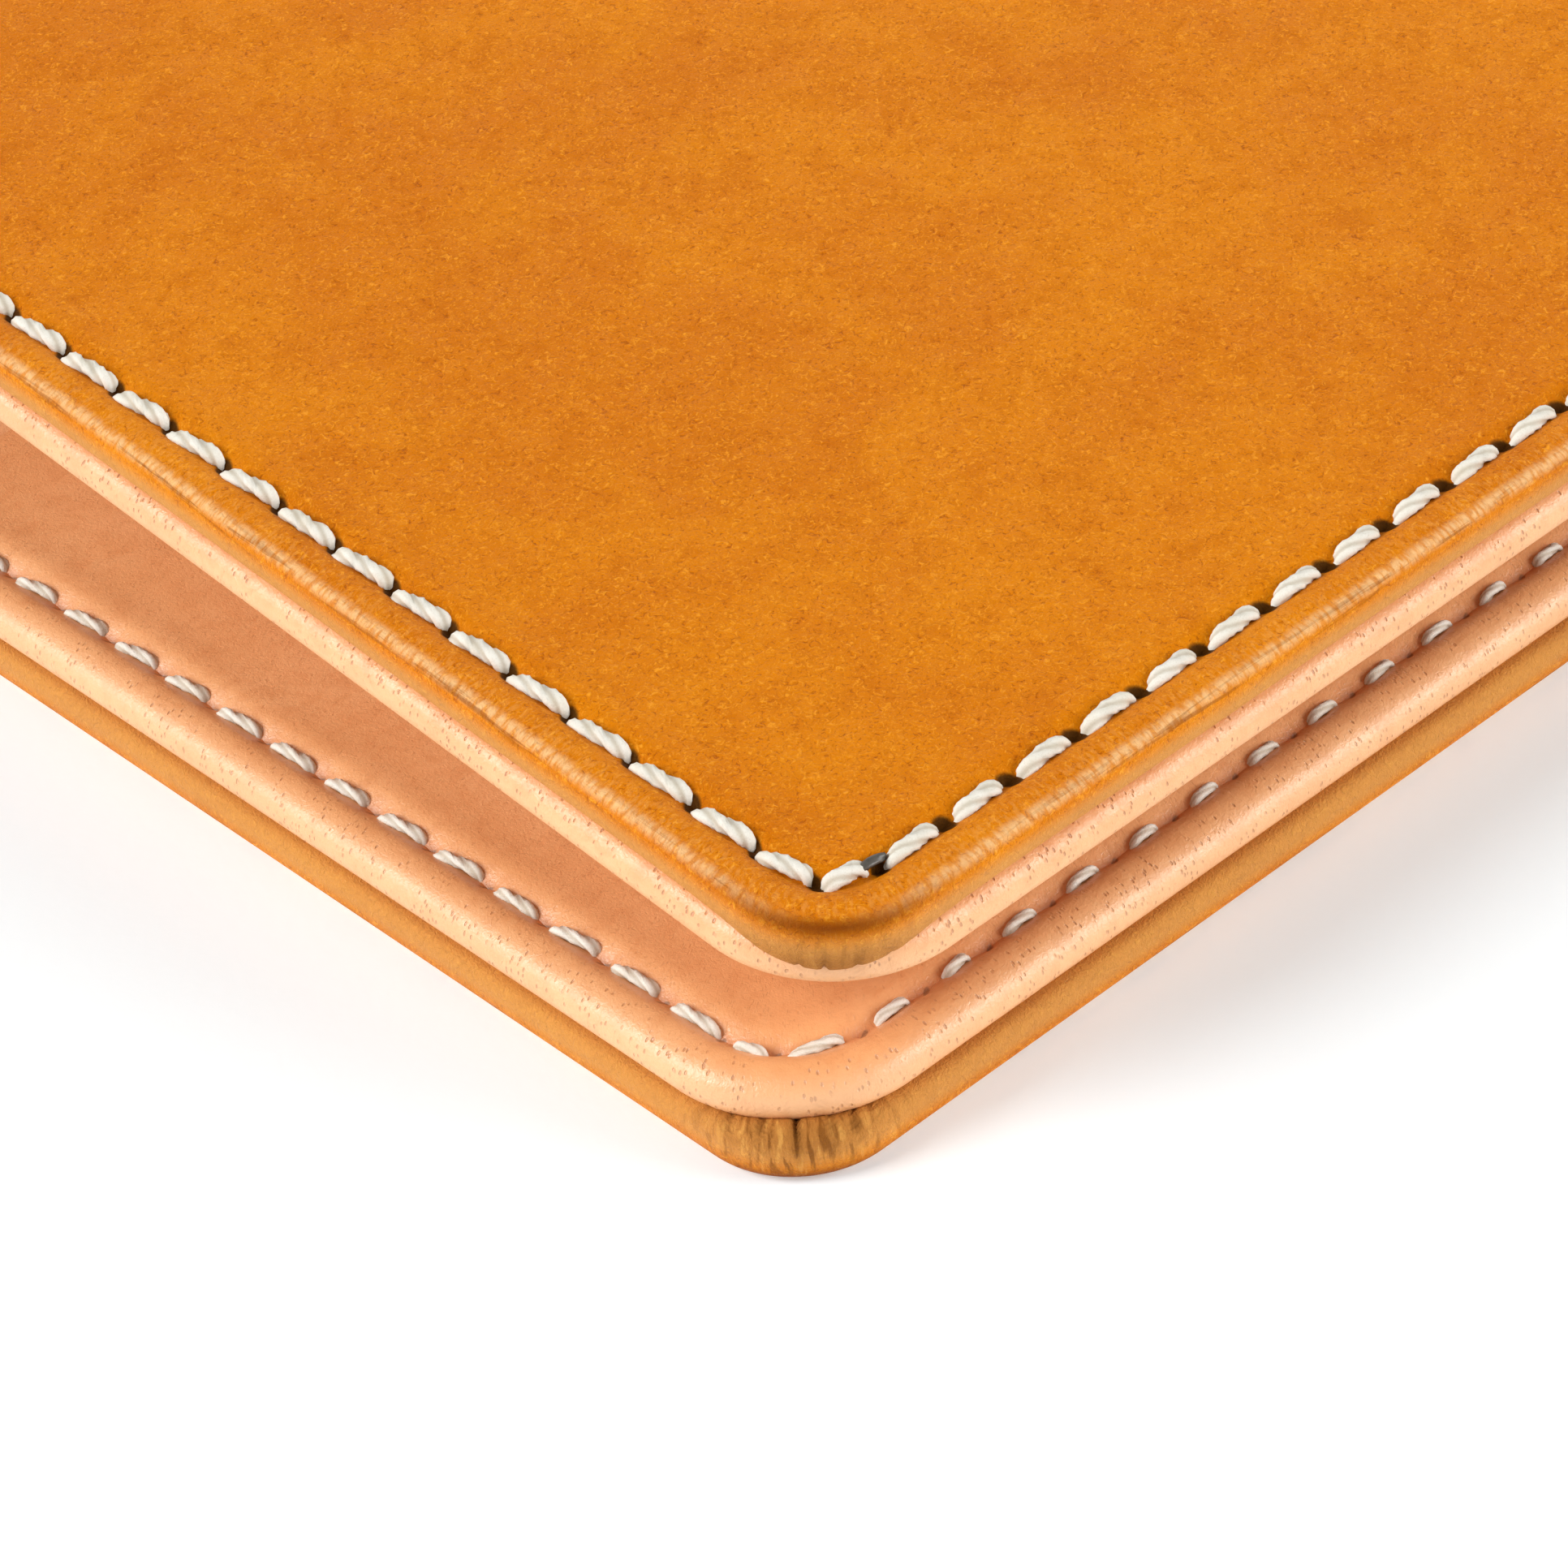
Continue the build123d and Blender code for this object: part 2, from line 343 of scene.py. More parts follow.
def flat_grid(name, columns, rows):
    """A flat slab of columns x rows cells; returns it with each vertex's cell and layer."""
    bpy.ops.object.select_all(action="DESELECT")
    bpy.ops.mesh.primitive_grid_add(x_subdivisions=columns, y_subdivisions=rows, size=2)
    piece = bpy.context.object
    piece.name = name
    wall = piece.modifiers.new("wall", "SOLIDIFY")
    wall.thickness = 1
    wall.offset = -1
    bpy.ops.object.modifier_apply(modifier="wall")
    corners = np.empty(len(piece.data.vertices) * 3)
    piece.data.vertices.foreach_get("co", corners)
    corners = corners.reshape(-1, 3)
    column = np.rint((corners[:, 0] + 1) / 2 * columns).astype(int)
    row = np.rint((corners[:, 1] + 1) / 2 * rows).astype(int)
    return piece, column, row, corners[:, 2] < -0.5


def finish_mesh(piece, points):
    """Puts the vertices at their places, turns the faces outwards and shades them."""
    piece.data.vertices.foreach_set("co", (points * MM).ravel())
    piece.data.update()
    bpy.ops.object.select_all(action="DESELECT")
    piece.select_set(True)
    bpy.context.view_layer.objects.active = piece
    bpy.ops.object.mode_set(mode="EDIT")
    bpy.ops.mesh.select_all(action="SELECT")
    bpy.ops.mesh.normals_make_consistent(inside=False)
    bpy.ops.object.mode_set(mode="OBJECT")
    bpy.ops.object.shade_smooth_by_angle(angle=SMOOTH_UP_TO)
    return piece


def give(piece, name, values):
    """Stores one number per vertex, for the materials to read."""
    attribute = piece.data.attributes.new(name, "FLOAT", "POINT")
    attribute.data.foreach_set("value", np.asarray(values, np.float32))


# %% Turn the edges of a flat slab
BLOCK = 9.0                                          # depth of the ring zone, from the rim
CORNER_ZONE = 6.5                                    # the rounding is spread over this length
SPREAD = 1.4                                         # crowds the columns towards the ring's corner
CORNER_FADE = 2.6                                    # how far "corner" reaches from a corner's middle


def round_corner(from_left, from_end, radius):
    """Moves points on a sharp ring to the rounded ring; distances are from the ring's corner."""
    radius = np.maximum(radius, 1e-6)
    length = from_left - from_end
    stretch = (CORNER_ZONE - radius * (1 - np.pi / 4)) / CORNER_ZONE
    on_ring = np.minimum(from_left, from_end) < 1e-6
    near = on_ring & (np.abs(length) < CORNER_ZONE)
    travel = length * stretch
    angle = np.clip(travel / radius, -np.pi / 4, np.pi / 4) + np.pi / 4
    past = np.maximum(np.abs(travel) - radius * np.pi / 4, 0)
    left = radius * (1 - np.cos(angle)) + np.where(length > 0, past, 0)
    end = radius * (1 - np.sin(angle)) + np.where(length < 0, past, 0)
    return np.where(near, left, from_left), np.where(near, end, from_end)


def row_length(length, inset):
    """Length along the stitch row beside a point that is `length` round its ring's corner."""
    zone = CORNER_ZONE + inset - MARGIN
    beside = np.where(np.abs(length) < CORNER_ZONE, length * zone / CORNER_ZONE,
                      np.sign(length) * (np.abs(length) + inset - MARGIN))
    stretch = (CORNER_ZONE - arc_saving) / CORNER_ZONE
    return np.where(np.abs(beside) < CORNER_ZONE, beside * stretch,
                    np.sign(beside) * (np.abs(beside) - arc_saving))


def turned_sheet(name, side, start, leather, board, hem, bead, squareness, radius):
    """A slab of leather from w = start to the free edge, turned under on three sides."""
    inset, depth, flesh_inset, flesh_depth = turned_section(leather, board, hem, bead, squareness, BLOCK)
    rings = len(inset) - 1
    row_x, row_w, _ = row_point(holes[side])
    half = COVER_LENGTH / 2
    x_lines = lines_between(row_x[row_w > ROW_END - 0.01], BLOCK - half, half - BLOCK)
    w_lines = lines_between(row_w[row_x < 0], start, COVER_WIDTH - BLOCK)
    columns = len(x_lines) - 1 + 2 * rings
    rows = len(w_lines) - 1 + rings
    piece, column, row, flesh = flat_grid(name, columns, rows)

    right = column > columns / 2
    from_side = np.where(right, columns - column, column)
    from_free = rows - row
    ring = np.minimum(np.minimum(from_side, from_free), rings)
    ring_inset = np.where(flesh, flesh_inset[ring], inset[ring])
    ring_depth = np.where(flesh, flesh_depth[ring], depth[ring])
    span = np.maximum(rings - ring, 1)
    share_side = np.clip((from_side - ring) / span, 0, 1) ** SPREAD
    share_free = np.clip((from_free - ring) / span, 0, 1) ** SPREAD
    block_left = (BLOCK - ring_inset) * share_side
    block_end = (BLOCK - ring_inset) * share_free
    x_field = np.interp(column, np.arange(rings, rings + len(x_lines)), x_lines)
    w_field = np.interp(row, np.arange(len(w_lines)), w_lines)
    field_left = np.where(right, half - x_field, half + x_field) - ring_inset
    from_left = np.where(from_side < rings, block_left, field_left)
    from_end = np.where(from_free < rings, block_end, COVER_WIDTH - w_field - ring_inset)
    length = from_left - from_end
    ring_radius = np.maximum(radius - ring_inset, 0.0)
    left, end = round_corner(from_left, from_end, ring_radius)
    x = np.where(right, half - ring_inset - left, ring_inset + left - half)
    w = COVER_WIDTH - ring_inset - end

    arc = np.concatenate(([0], np.cumsum(np.hypot(np.diff(inset), np.diff(depth)))))
    arc -= arc[np.argmin(inset)]
    beyond = np.where(ring == rings, np.minimum(from_left, from_end), 0)
    along = row_length(length, ring_inset)
    along = np.where(right, ROW_SPAN - along, along)
    corner = np.exp(-(np.where(right, ROW_SPAN - along, along) / CORNER_FADE) ** 2)
    sheet = {"piece": piece, "x": x, "w": w, "depth": ring_depth, "inset": ring_inset + beyond,
             "along": along, "corner": corner, "hem_side": arc[ring] < -0.01, "rim": 2 * leather + board}
    give(piece, "across", arc[ring] + beyond)
    give(piece, "along", along)
    give(piece, "corner", corner)
    give(piece, "pitch_phase", np.interp(along, holes[side], np.arange(len(holes[side]))))
    return sheet


print("ring zone", BLOCK, "mm deep, corners rounded over", CORNER_ZONE, "mm")

# %% [markdown]
# ## Pressing the row
# The thread pulls the leather down along the row, so the rim stands up as a soft bead
# outside it and the field rises gently inside it. Each slit is a small slanted dent.


# %% Puff, channel and slits
CHANNEL_WIDTH = 0.38
CREST = 1.15                                         # the bead's crest, in from the rim
SLIT_LONG, SLIT_SHORT = 0.38, 0.27
SLIT_SHIFT = 0.08                                    # the slits sit a little inside the row


def press(sheet, side, channel, puff, slit, lean):
    """Changes the depth of the face: a channel along the row with a slanted dent at each hole."""
    d = sheet["inset"]
    face = ~sheet["hem_side"]
    depth = channel * np.exp(-((d - MARGIN) / CHANNEL_WIDTH) ** 2)
    depth -= puff * np.exp(-((d - CREST) / 0.55) ** 2) * (d > 0.05)
    depth -= 0.45 * puff * np.exp(-((d - MARGIN - 1.1) / 0.6) ** 2)
    gap = np.abs(sheet["along"][:, None] - holes[side][None, :])
    near = holes[side][np.argmin(gap, 1)]
    step = sheet["along"] - near
    off = d - MARGIN - SLIT_SHIFT
    long_way = step * np.cos(lean) - off * np.sin(lean)
    short_way = step * np.sin(lean) + off * np.cos(lean)
    depth += slit * np.exp(-(long_way / SLIT_LONG) ** 2 - (short_way / SLIT_SHORT) ** 2)
    return np.where(face, depth, 0)


SLIT_LEAN = np.radians(40)
print("slits lean", round(np.degrees(SLIT_LEAN)), "degrees")

# %% [markdown]
# ## Outer leather
# The amber leather is one sheet on the real holder, round both covers and the spine. It
# crosses two joints, and a piece may bend across one, so it is made as two sheets that
# meet in the middle of the spine, where both only follow the spine. At a free corner the
# maker pleats the hem, which makes the rim thicker there and leaves small radial creases.


# %% Pleated corners
def pleat(sheet, swell, crease, worn, seed):
    """Thickens the hem side of the rim at the corners and creases it; worn scales the streaks."""
    rng = np.random.default_rng(seed)
    step = np.where(sheet["along"] > ROW_SPAN / 2, sheet["along"] - ROW_SPAN, sheet["along"])
    under = (np.clip(sheet["depth"] / sheet["rim"] - 0.1, 0, 0.9) / 0.9) ** 1.6
    near_rim = np.exp(-(np.maximum(sheet["inset"] - 0.5, 0) / 0.9) ** 2)
    waves = np.zeros(len(step))
    for spot in np.arange(-2.4, 2.5, 0.8) + rng.normal(0, 0.16, 7):
        width = rng.uniform(0.04, 0.09)
        waves += rng.uniform(0.3, 1.0) * np.exp(-((step - spot) / width) ** 2)
    rise = sheet["corner"] * under * near_rim
    give(sheet["piece"], "crease", np.clip(waves, 0, 1) * sheet["corner"] * under)
    give(sheet["piece"], "worn", np.full(len(step), worn))
    return rise * (swell - crease * waves)


def outer_skin(side):
    sheet = turned_sheet(side + "_outer_skin", side, MID_SPINE, LEATHER, BOARD, HEM,
                         bead=0.62, squareness=2.7, radius=CORNER)
    depth = sheet["depth"] + press(sheet, side, channel=0.26, puff=0.13, slit=0.28, lean=SLIT_LEAN)
    worn, seed = (0.3, 3) if side == "front" else (1.0, 5)
    depth += pleat(sheet, swell=0.7, crease=0.24, worn=worn, seed=seed)
    return finish_mesh(sheet["piece"], place(side, sheet["x"], sheet["w"], depth))


skins = {side: outer_skin(side) for side in ("back", "front")}
for skin in skins.values():
    print(skin.name, len(skin.data.polygons), "faces")

# %% [markdown]
# ## Pocket panels
# The tan panel is a smaller sheet with its own turned edge, laid grain side in on the
# lining. Its rim stands on the amber rim as a second, rounder bead. The mouth of the
# pocket is a raw, burnished edge, so that side stays open.


# %% Pocket panels
def pocket_panel(side):
    sheet = turned_sheet(side + "_pocket", side, POCKET_MOUTH, POCKET_LEATHER, POCKET_BOARD, HEM,
                         bead=0.85, squareness=2.15, radius=POCKET_CORNER)
    depth = sheet["depth"] + press(sheet, side, channel=0.30, puff=0.12, slit=0.20, lean=-SLIT_LEAN)
    depth += pleat(sheet, swell=0.1, crease=0.12, worn=0.0, seed=7)
    return finish_mesh(sheet["piece"], place(side, sheet["x"], sheet["w"], COVER_TOP - depth))


pockets = {side: pocket_panel(side) for side in ("back", "front")}
for pocket in pockets.values():
    print(pocket.name, len(pocket.data.polygons), "faces")

# %% [markdown]
# ## Lining and card slots
# Both are cut sheets with raw edges, a skived lining under everything and a T-shaped slot
# whose ears reach under the stitch row. They are flat grids with the leather's thickness:
# the lining bends round the fold with the outer leather, and its edge is hidden by the rims.


# %% Lining
def cut_sheet(name, side, x_lines, w_lines, level, thickness):
    """A flat slab between grid lines, bent round the fold, with its raw edges left square."""
    piece, column, row, lower = flat_grid(name, len(x_lines) - 1, len(w_lines) - 1)
    x, w = x_lines[column], w_lines[row]
    shoulder = np.clip(w - (w_lines[-1] - CORNER), 0, CORNER)
    round_half = x_lines[-1] - CORNER + np.sqrt(CORNER ** 2 - shoulder ** 2)
    x = x * round_half / x_lines[-1]
    depth = np.where(lower, level, level + thickness)
    return finish_mesh(piece, place(side, x, w, depth))


LINING_INSET = 1.0
lining_half = COVER_LENGTH / 2 - LINING_INSET
lining_x = np.linspace(-lining_half, lining_half, 61)
fold_w = np.linspace(MID_SPINE, FLAT_START + 1, 25)
lining_end = COVER_WIDTH - LINING_INSET
corner_w = lining_end - CORNER * (1 - np.sin(np.linspace(0, np.pi / 2, 9)))
lining_w = np.concatenate((fold_w, np.linspace(FLAT_START + 1, corner_w[0], 24)[1:], corner_w[1:]))
linings = {side: cut_sheet(side + "_soft_lining", side, lining_x, lining_w, RIM, LINING)
           for side in ("back", "front")}
print("lining", round(2 * lining_half, 1), "mm long,", LINING, "mm thick")

# %% Card slots
STEM_HALF = COVER_LENGTH / 2 - HEM - 0.5
EAR_END = POCKET_MOUTH - 0.2


def card_slot(side):
    """The T shape: a full grid whose cells beside the stem are deleted before it gets its wall."""
    bpy.ops.object.select_all(action="DESELECT")
    x_lines = np.concatenate(([-lining_half], np.linspace(-STEM_HALF, STEM_HALF, 41), [lining_half]))
    w_lines = np.concatenate((np.linspace(SLOT_MOUTH, EAR_END, 8),
                              np.linspace(EAR_END, SLOT_BOTTOM, 22)[1:]))
    columns = len(x_lines) - 1
    rows = len(w_lines) - 1
    bpy.ops.mesh.primitive_grid_add(x_subdivisions=columns, y_subdivisions=rows, size=2)
    piece = bpy.context.object
    piece.name = side + "_slot_leather"
    for vertex in piece.data.vertices:
        column = round((vertex.co.x + 1) / 2 * columns)
        row = round((vertex.co.y + 1) / 2 * rows)
        vertex.co = (x_lines[column], w_lines[row], 0)
    bpy.ops.object.mode_set(mode="EDIT")
    bpy.ops.mesh.select_mode(type="FACE")
    bpy.ops.object.mode_set(mode="OBJECT")
    for face in piece.data.polygons:
        face.select = abs(face.center.x) > STEM_HALF and face.center.y > EAR_END
    bpy.ops.object.mode_set(mode="EDIT")
    bpy.ops.mesh.delete(type="FACE")
    bpy.ops.object.mode_set(mode="OBJECT")
    wall = piece.modifiers.new("wall", "SOLIDIFY")
    wall.thickness = SLOT_LEATHER
    wall.offset = -1
    bpy.ops.object.modifier_apply(modifier="wall")
    points = np.empty(len(piece.data.vertices) * 3)
    piece.data.vertices.foreach_get("co", points)
    points = points.reshape(-1, 3)
    dip = 0.05 * np.cos(points[:, 0] / 9) * np.exp(-(points[:, 1] - SLOT_MOUTH) / 6)
    depth = SLOT_LEVEL + SLOT_LEATHER + points[:, 2] + dip - 0.03
    return finish_mesh(piece, place(side, points[:, 0], points[:, 1], depth))


slots = {side: card_slot(side) for side in ("back", "front")}
print("card slot", round(2 * STEM_HALF, 1), "mm wide inside, mouth at", round(SLOT_MOUTH, 1), "mm")

# %% [markdown]
# ## Thread
# The thread is three waxed plies laid up with a right-hand twist. A round tube with a
# bump would not show the plies in outline, so one short cord is modelled with three lobes
# by extruding a circle ring by ring, and every stitch is a copy of it that is twisted and
# bent along its own arch: up out of one slit, over the leather and down into the next.

# %% One short cord
THREAD_RADIUS = 0.35
STITCH_SINK = 0.75                                   # how deep a stitch's ends go into the leather
STITCH_SQUARENESS = 3.6
LAY = 3.3                                            # length of one full turn of the plies
CORD_SIDES = 12
CORD_STEPS = 12


def straight_cord():
    """A closed twelve-sided rod of unit length, in steps, as the pattern of every stitch."""
    bpy.ops.object.select_all(action="DESELECT")
    bpy.ops.mesh.primitive_circle_add(vertices=CORD_SIDES, radius=1, fill_type="NGON")
    piece = bpy.context.object
    bpy.ops.object.mode_set(mode="EDIT")
    bpy.ops.mesh.select_all(action="SELECT")
    for _ in range(CORD_STEPS):
        bpy.ops.mesh.extrude_region_move(TRANSFORM_OT_translate={"value": (0, 0, 1)})
    bpy.ops.mesh.select_all(action="SELECT")
    bpy.ops.mesh.normals_make_consistent(inside=False)
    bpy.ops.object.mode_set(mode="OBJECT")
    bpy.ops.object.shade_smooth()
    return piece


pattern = straight_cord()
pattern_points = np.array([vertex.co for vertex in pattern.data.vertices])
cord_step = np.rint(pattern_points[:, 2]).astype(int)
cord_angle = np.arctan2(pattern_points[:, 1], pattern_points[:, 0])
lobe = np.abs((cord_angle * 3 / (2 * np.pi)) % 1 - 0.5) * 2        # 1 on a ply's crest, 0 in a groove
give(pattern, "ply", lobe)
print("cord pattern:", len(pattern.data.polygons), "faces")


# %% The holes that each cover's thread goes through
def sewn_lengths(side):
    """The holes of one cover; the back's list also spans the stitch at the middle of the spine."""
    row = holes[side]
    if side == "front":
        return row
    across = row[0] - 2 * (row[0] + ROW_REACH)
    far = row[-1] + 2 * (ROW_SPAN + ROW_REACH - row[-1])
    return np.concatenate(([across], row, [far]))


# %% Bend the cord into one stitch
def arch(rise, sink, squareness):
    """Share of the way along and height of a stitch's middle line, from slit to slit."""
    turn = np.linspace(0, np.pi, CORD_STEPS + 1)
    power = 2 / squareness
    share = 0.5 * (1 - np.sign(np.cos(turn)) * np.abs(np.cos(turn)) ** power)
    return share, -sink + (sink + rise) * np.sin(turn) ** power


def sweep(middle, up, phase, radius):
    """The pattern's vertices, twisted as plies round a middle line in the row frame."""
    tangents = np.gradient(middle, axis=0)
    tangents /= np.linalg.norm(tangents, axis=1)[:, None]
    sideways = np.cross(middle[-1] - middle[0], up)
    sideways /= np.linalg.norm(sideways)
    first = np.cross(np.broadcast_to(sideways, tangents.shape), tangents)
    run = np.concatenate(([0], np.cumsum(np.linalg.norm(np.diff(middle, axis=0), axis=1))))
    turned = cord_angle + phase + 2 * np.pi * run[cord_step] / LAY
    taper = 1 - 0.16 * np.abs(2 * cord_step / CORD_STEPS - 1) ** 2.5
    size = radius * taper * (0.68 + 0.32 * np.sin(lobe * np.pi / 2))
    centre = middle[cord_step]
    return (centre + (0.88 * size * np.cos(turned))[:, None] * first[cord_step]
            + (1.06 * size * np.sin(turned))[:, None] * sideways)


# In each pair, the first number is for stitches on an end edge, where the thread leans more,
# and the second for the free edge. Inside, the thread is pulled into the leather.
SEWING = {"outer": {"up": 1, "gap": (0.38, 0.54), "slant": (0.18, 0.08), "jitter": 0.12,
                    "thick": (1, 1)},
          "inner": {"up": -1, "gap": (0.52, 0.84), "slant": (0.14, 0.08), "jitter": 0.3,
                    "thick": (0.73, 0.62)}}


def innermost(w):
    """Depth of whatever lies innermost at that place: pocket, card slot or lining."""
    if w > POCKET_MOUTH:
        return COVER_TOP
    return SLOT_LEVEL + SLOT_LEATHER if w > SLOT_MOUTH else RIM + LINING


def stitch_row(side, face, rise):
    """All stitches of the "outer" or the "inner" face of a cover, as one piece."""
    name = side + "_" + face + "_stitches"
    sewing = SEWING[face]
    rng = np.random.default_rng(len(name))
    share, height = arch(rise, STITCH_SINK, STITCH_SQUARENESS)
    copies = []
    lengths = sewn_lengths(side)
    for start, end in zip(lengths[:-1], lengths[1:]):
        (xa, xb), (wa, wb), (rim_a, rim_b) = row_point(np.array((start, end)))
        a = np.array((xa, wa))
        b = np.array((xb, wb))
        way = (b - a) / np.linalg.norm(b - a)
        on_end = (start + end) / 2 < 2 or (start + end) / 2 > ROW_SPAN - 2
        edge = 0 if on_end else 1
        lean = sewing["slant"][edge] * (1 + rng.normal(0, sewing["jitter"]))
        trim = sewing["gap"][edge] * (1 + rng.normal(0, 0.05))
        a = a + way * trim + rim_a * lean
        b = b - way * trim - rim_b * lean
        flat = a + np.multiply.outer(share, b - a)
        lift = height + rng.normal(0, 0.015)
        level = 0.0 if face == "outer" else innermost((wa + wb) / 2)
        half_way = len(flat) // 2
        middle = place(side, flat[:, 0], flat[:, 1], level - sewing["up"] * lift)
        crest = flat[half_way:half_way + 1]
        above = place(side, *crest.T, np.array([level - sewing["up"]]))[0]
        copy = pattern.copy()
        copy.data = pattern.data.copy()
        bpy.context.scene.collection.objects.link(copy)
        up = above - middle[half_way]
        radius = THREAD_RADIUS * sewing["thick"][edge]
        points = sweep(middle, up, rng.uniform(0, 2 * np.pi), radius)
        copy.data.vertices.foreach_set("co", (points * MM).ravel())
        copies.append(copy)
    bpy.ops.object.select_all(action="DESELECT")
    for copy in copies:
        copy.select_set(True)
    bpy.context.view_layer.objects.active = copies[0]
    bpy.ops.object.join()
    row = bpy.context.object
    row.name = name
    return row


# %% Sew both covers
threads = {}
for side in ("back", "front"):
    rise = -0.2 if side == "back" else 0.0           # the underside is pressed flatter by use
    threads[side, "outer"] = stitch_row(side, "outer", rise)
    threads[side, "inner"] = stitch_row(side, "inner", -0.09)


def melted_end(side, start, end, aside, radius):
    """The thread's cut end, melted flat beside the corner stitch where the maker finished."""
    share = np.linspace(0, 1, CORD_STEPS + 1)
    x, w, rim = row_point(start + (end - start) * share)
    depth = 0.06 - 0.1 * np.sin(np.pi * share)
    middle = place(side, x - aside * rim[:, 0], w - aside * rim[:, 1], depth)
    stub = pattern.copy()
    stub.data = pattern.data.copy()
    stub.name = side + "_melted_end"
    bpy.context.scene.collection.objects.link(stub)
    points = sweep(middle, np.array((0, 0, 1.0)), 0.4, radius)
    stub.data.vertices.foreach_set("co", (points * MM).ravel())
    return stub


thread_end = melted_end("front", 1.15, 2.3, 0.24, 0.19)
bpy.data.objects.remove(pattern)
print({row.name: len(row.data.polygons) for row in threads.values()})


# %% [markdown]
# ## Finishes
# Vegetable-tanned leather with a waxed, hand-rubbed finish has colour on several scales:
# slow blotches, a short fibrous mottle and pin-sized pores. Where the rim is handled it is
# rubbed lighter, and light and shade are painted in as well: highlights on the beads, and
# shade in the slits, the stitch channels, the creases and under the corners' hems. The
# patterns read object coordinates for the hide and the stored numbers across and along
# for what follows the rim. Colours are written as they look on screen.

# %% Small helpers for materials
def tone(red, green, blue):
    """Screen colour from 0 to 255, as the linear colour that a shader takes."""
    parts = np.array((red, green, blue)) / 255
    linear = np.where(parts <= 0.04045, parts / 12.92, ((parts + 0.055) / 1.055) ** 2.4)
    return (*linear, 1.0)


class Recipe:
    """A material under construction: each method adds one node and returns its output."""

    def __init__(self, name):
        self.material = bpy.data.materials.new(name)
        self.material.use_nodes = True
        self.tree = self.material.node_tree
        self.shader = self.tree.nodes["Principled BSDF"]
        self.place = self.tree.nodes.new("ShaderNodeTexCoord").outputs["Object"]

    def feed(self, socket, value):
        if isinstance(value, bpy.types.NodeSocket):
            self.tree.links.new(value, socket)
        else:
            socket.default_value = value

    def stored(self, name):
        node = self.tree.nodes.new("ShaderNodeAttribute")
        node.attribute_name = name
        return node.outputs["Fac"]

    def sums(self, operation, *values):
        node = self.tree.nodes.new("ShaderNodeMath")
        node.operation = operation
        for socket, value in zip(node.inputs, values):
            self.feed(socket, value)
        return node.outputs[0]

    def times(self, first, second):
        return self.sums("MULTIPLY", first, second)

    def along_rim(self, along_scale, across_scale):
        """A place measured along and across the rim, for patterns that follow it."""
        node = self.tree.nodes.new("ShaderNodeCombineXYZ")
        self.feed(node.inputs["X"], self.times(self.stored("along"), along_scale))
        self.feed(node.inputs["Y"], self.times(self.stored("across"), across_scale))
        return node.outputs[0]

    def noise(self, size, detail=2.0, rough=0.5, distort=0.0, vector=None, unit=MM):
        """Noise whose features are about `size` units across."""
        node = self.tree.nodes.new("ShaderNodeTexNoise")
        node.inputs["Scale"].default_value = 1 / (size * unit)
        node.inputs["Detail"].default_value = detail
        node.inputs["Roughness"].default_value = rough
        node.inputs["Distortion"].default_value = distort
        self.tree.links.new(vector or self.place, node.inputs["Vector"])
        return node.outputs["Fac"]

    def rim_noise(self, size, detail, rough, distort, along_scale, across_scale):
        """Noise drawn out along or across the rim; a small scale draws it out."""
        return self.noise(size, detail, rough, distort, self.along_rim(along_scale, across_scale), 1.0)

    def pores(self, along_scale, across_scale):
        node = self.tree.nodes.new("ShaderNodeTexVoronoi")
        node.inputs["Scale"].default_value = 1.0
        self.tree.links.new(self.along_rim(along_scale, across_scale), node.inputs["Vector"])
        return node.outputs["Distance"]

    def span(self, value, low, high, to_low=0.0, to_high=1.0):
        """Spreads low..high over to_low..to_high, smoothly and clamped."""
        node = self.tree.nodes.new("ShaderNodeMapRange")
        node.interpolation_type = "SMOOTHSTEP"
        for socket, number in zip(node.inputs, (value, low, high, to_low, to_high)):
            self.feed(socket, number)
        return node.outputs["Result"]

    def hump(self, value, centre, width):
        """1 at centre, falling to 0 at centre plus or minus width."""
        distance = self.sums("ABSOLUTE", self.sums("SUBTRACT", value, centre))
        return self.span(distance, 0.0, width, 1.0, 0.0)

    def blend(self, factor, first, second):
        node = self.tree.nodes.new("ShaderNodeMix")
        node.data_type = "RGBA"
        self.feed(node.inputs["Factor"], factor)
        self.feed(node.inputs["A"], first)
        self.feed(node.inputs["B"], second)
        return node.outputs["Result"]

    def stain(self, colour, where, strength, stain):
        """Colours over what lies below it, by `strength` where `where` is 1."""
        return self.blend(self.times(where, strength), colour, stain)

    def finish(self, colour, roughness, height, relief_mm, specular=0.5):
        """Connects colour, roughness and a bump of relief_mm millimetres."""
        bump = self.tree.nodes.new("ShaderNodeBump")
        bump.inputs["Distance"].default_value = relief_mm * MM
        self.feed(bump.inputs["Height"], height)
        self.feed(self.shader.inputs["Base Color"], colour)
        self.feed(self.shader.inputs["Roughness"], roughness)
        self.shader.inputs["Specular IOR Level"].default_value = specular
        self.tree.links.new(bump.outputs["Normal"], self.shader.inputs["Normal"])
        return self.material


# %% Amber leather
def slit_mask(recipe, centre, long_mm, wide_mm, lean):
    """1 inside each awl slit: a slanted oval at every whole number of the hole count."""
    phase = recipe.stored("pitch_phase")
    step = recipe.times(recipe.sums("SUBTRACT", phase, recipe.sums("ROUND", phase)), PITCH)
    off = recipe.sums("SUBTRACT", recipe.stored("across"), centre)
    far = recipe.sums("SUBTRACT", recipe.times(step, np.cos(lean)),
                      recipe.times(off, np.sin(lean)))
    near = recipe.sums("ADD", recipe.times(step, np.sin(lean)),
                       recipe.times(off, np.cos(lean)))
    reach = recipe.sums("ADD", recipe.sums("POWER", recipe.sums("DIVIDE", far, long_mm), 2.0),
                        recipe.sums("POWER", recipe.sums("DIVIDE", near, wide_mm), 2.0))
    return recipe.span(reach, 0.5, 1.3, 1.0, 0.0)


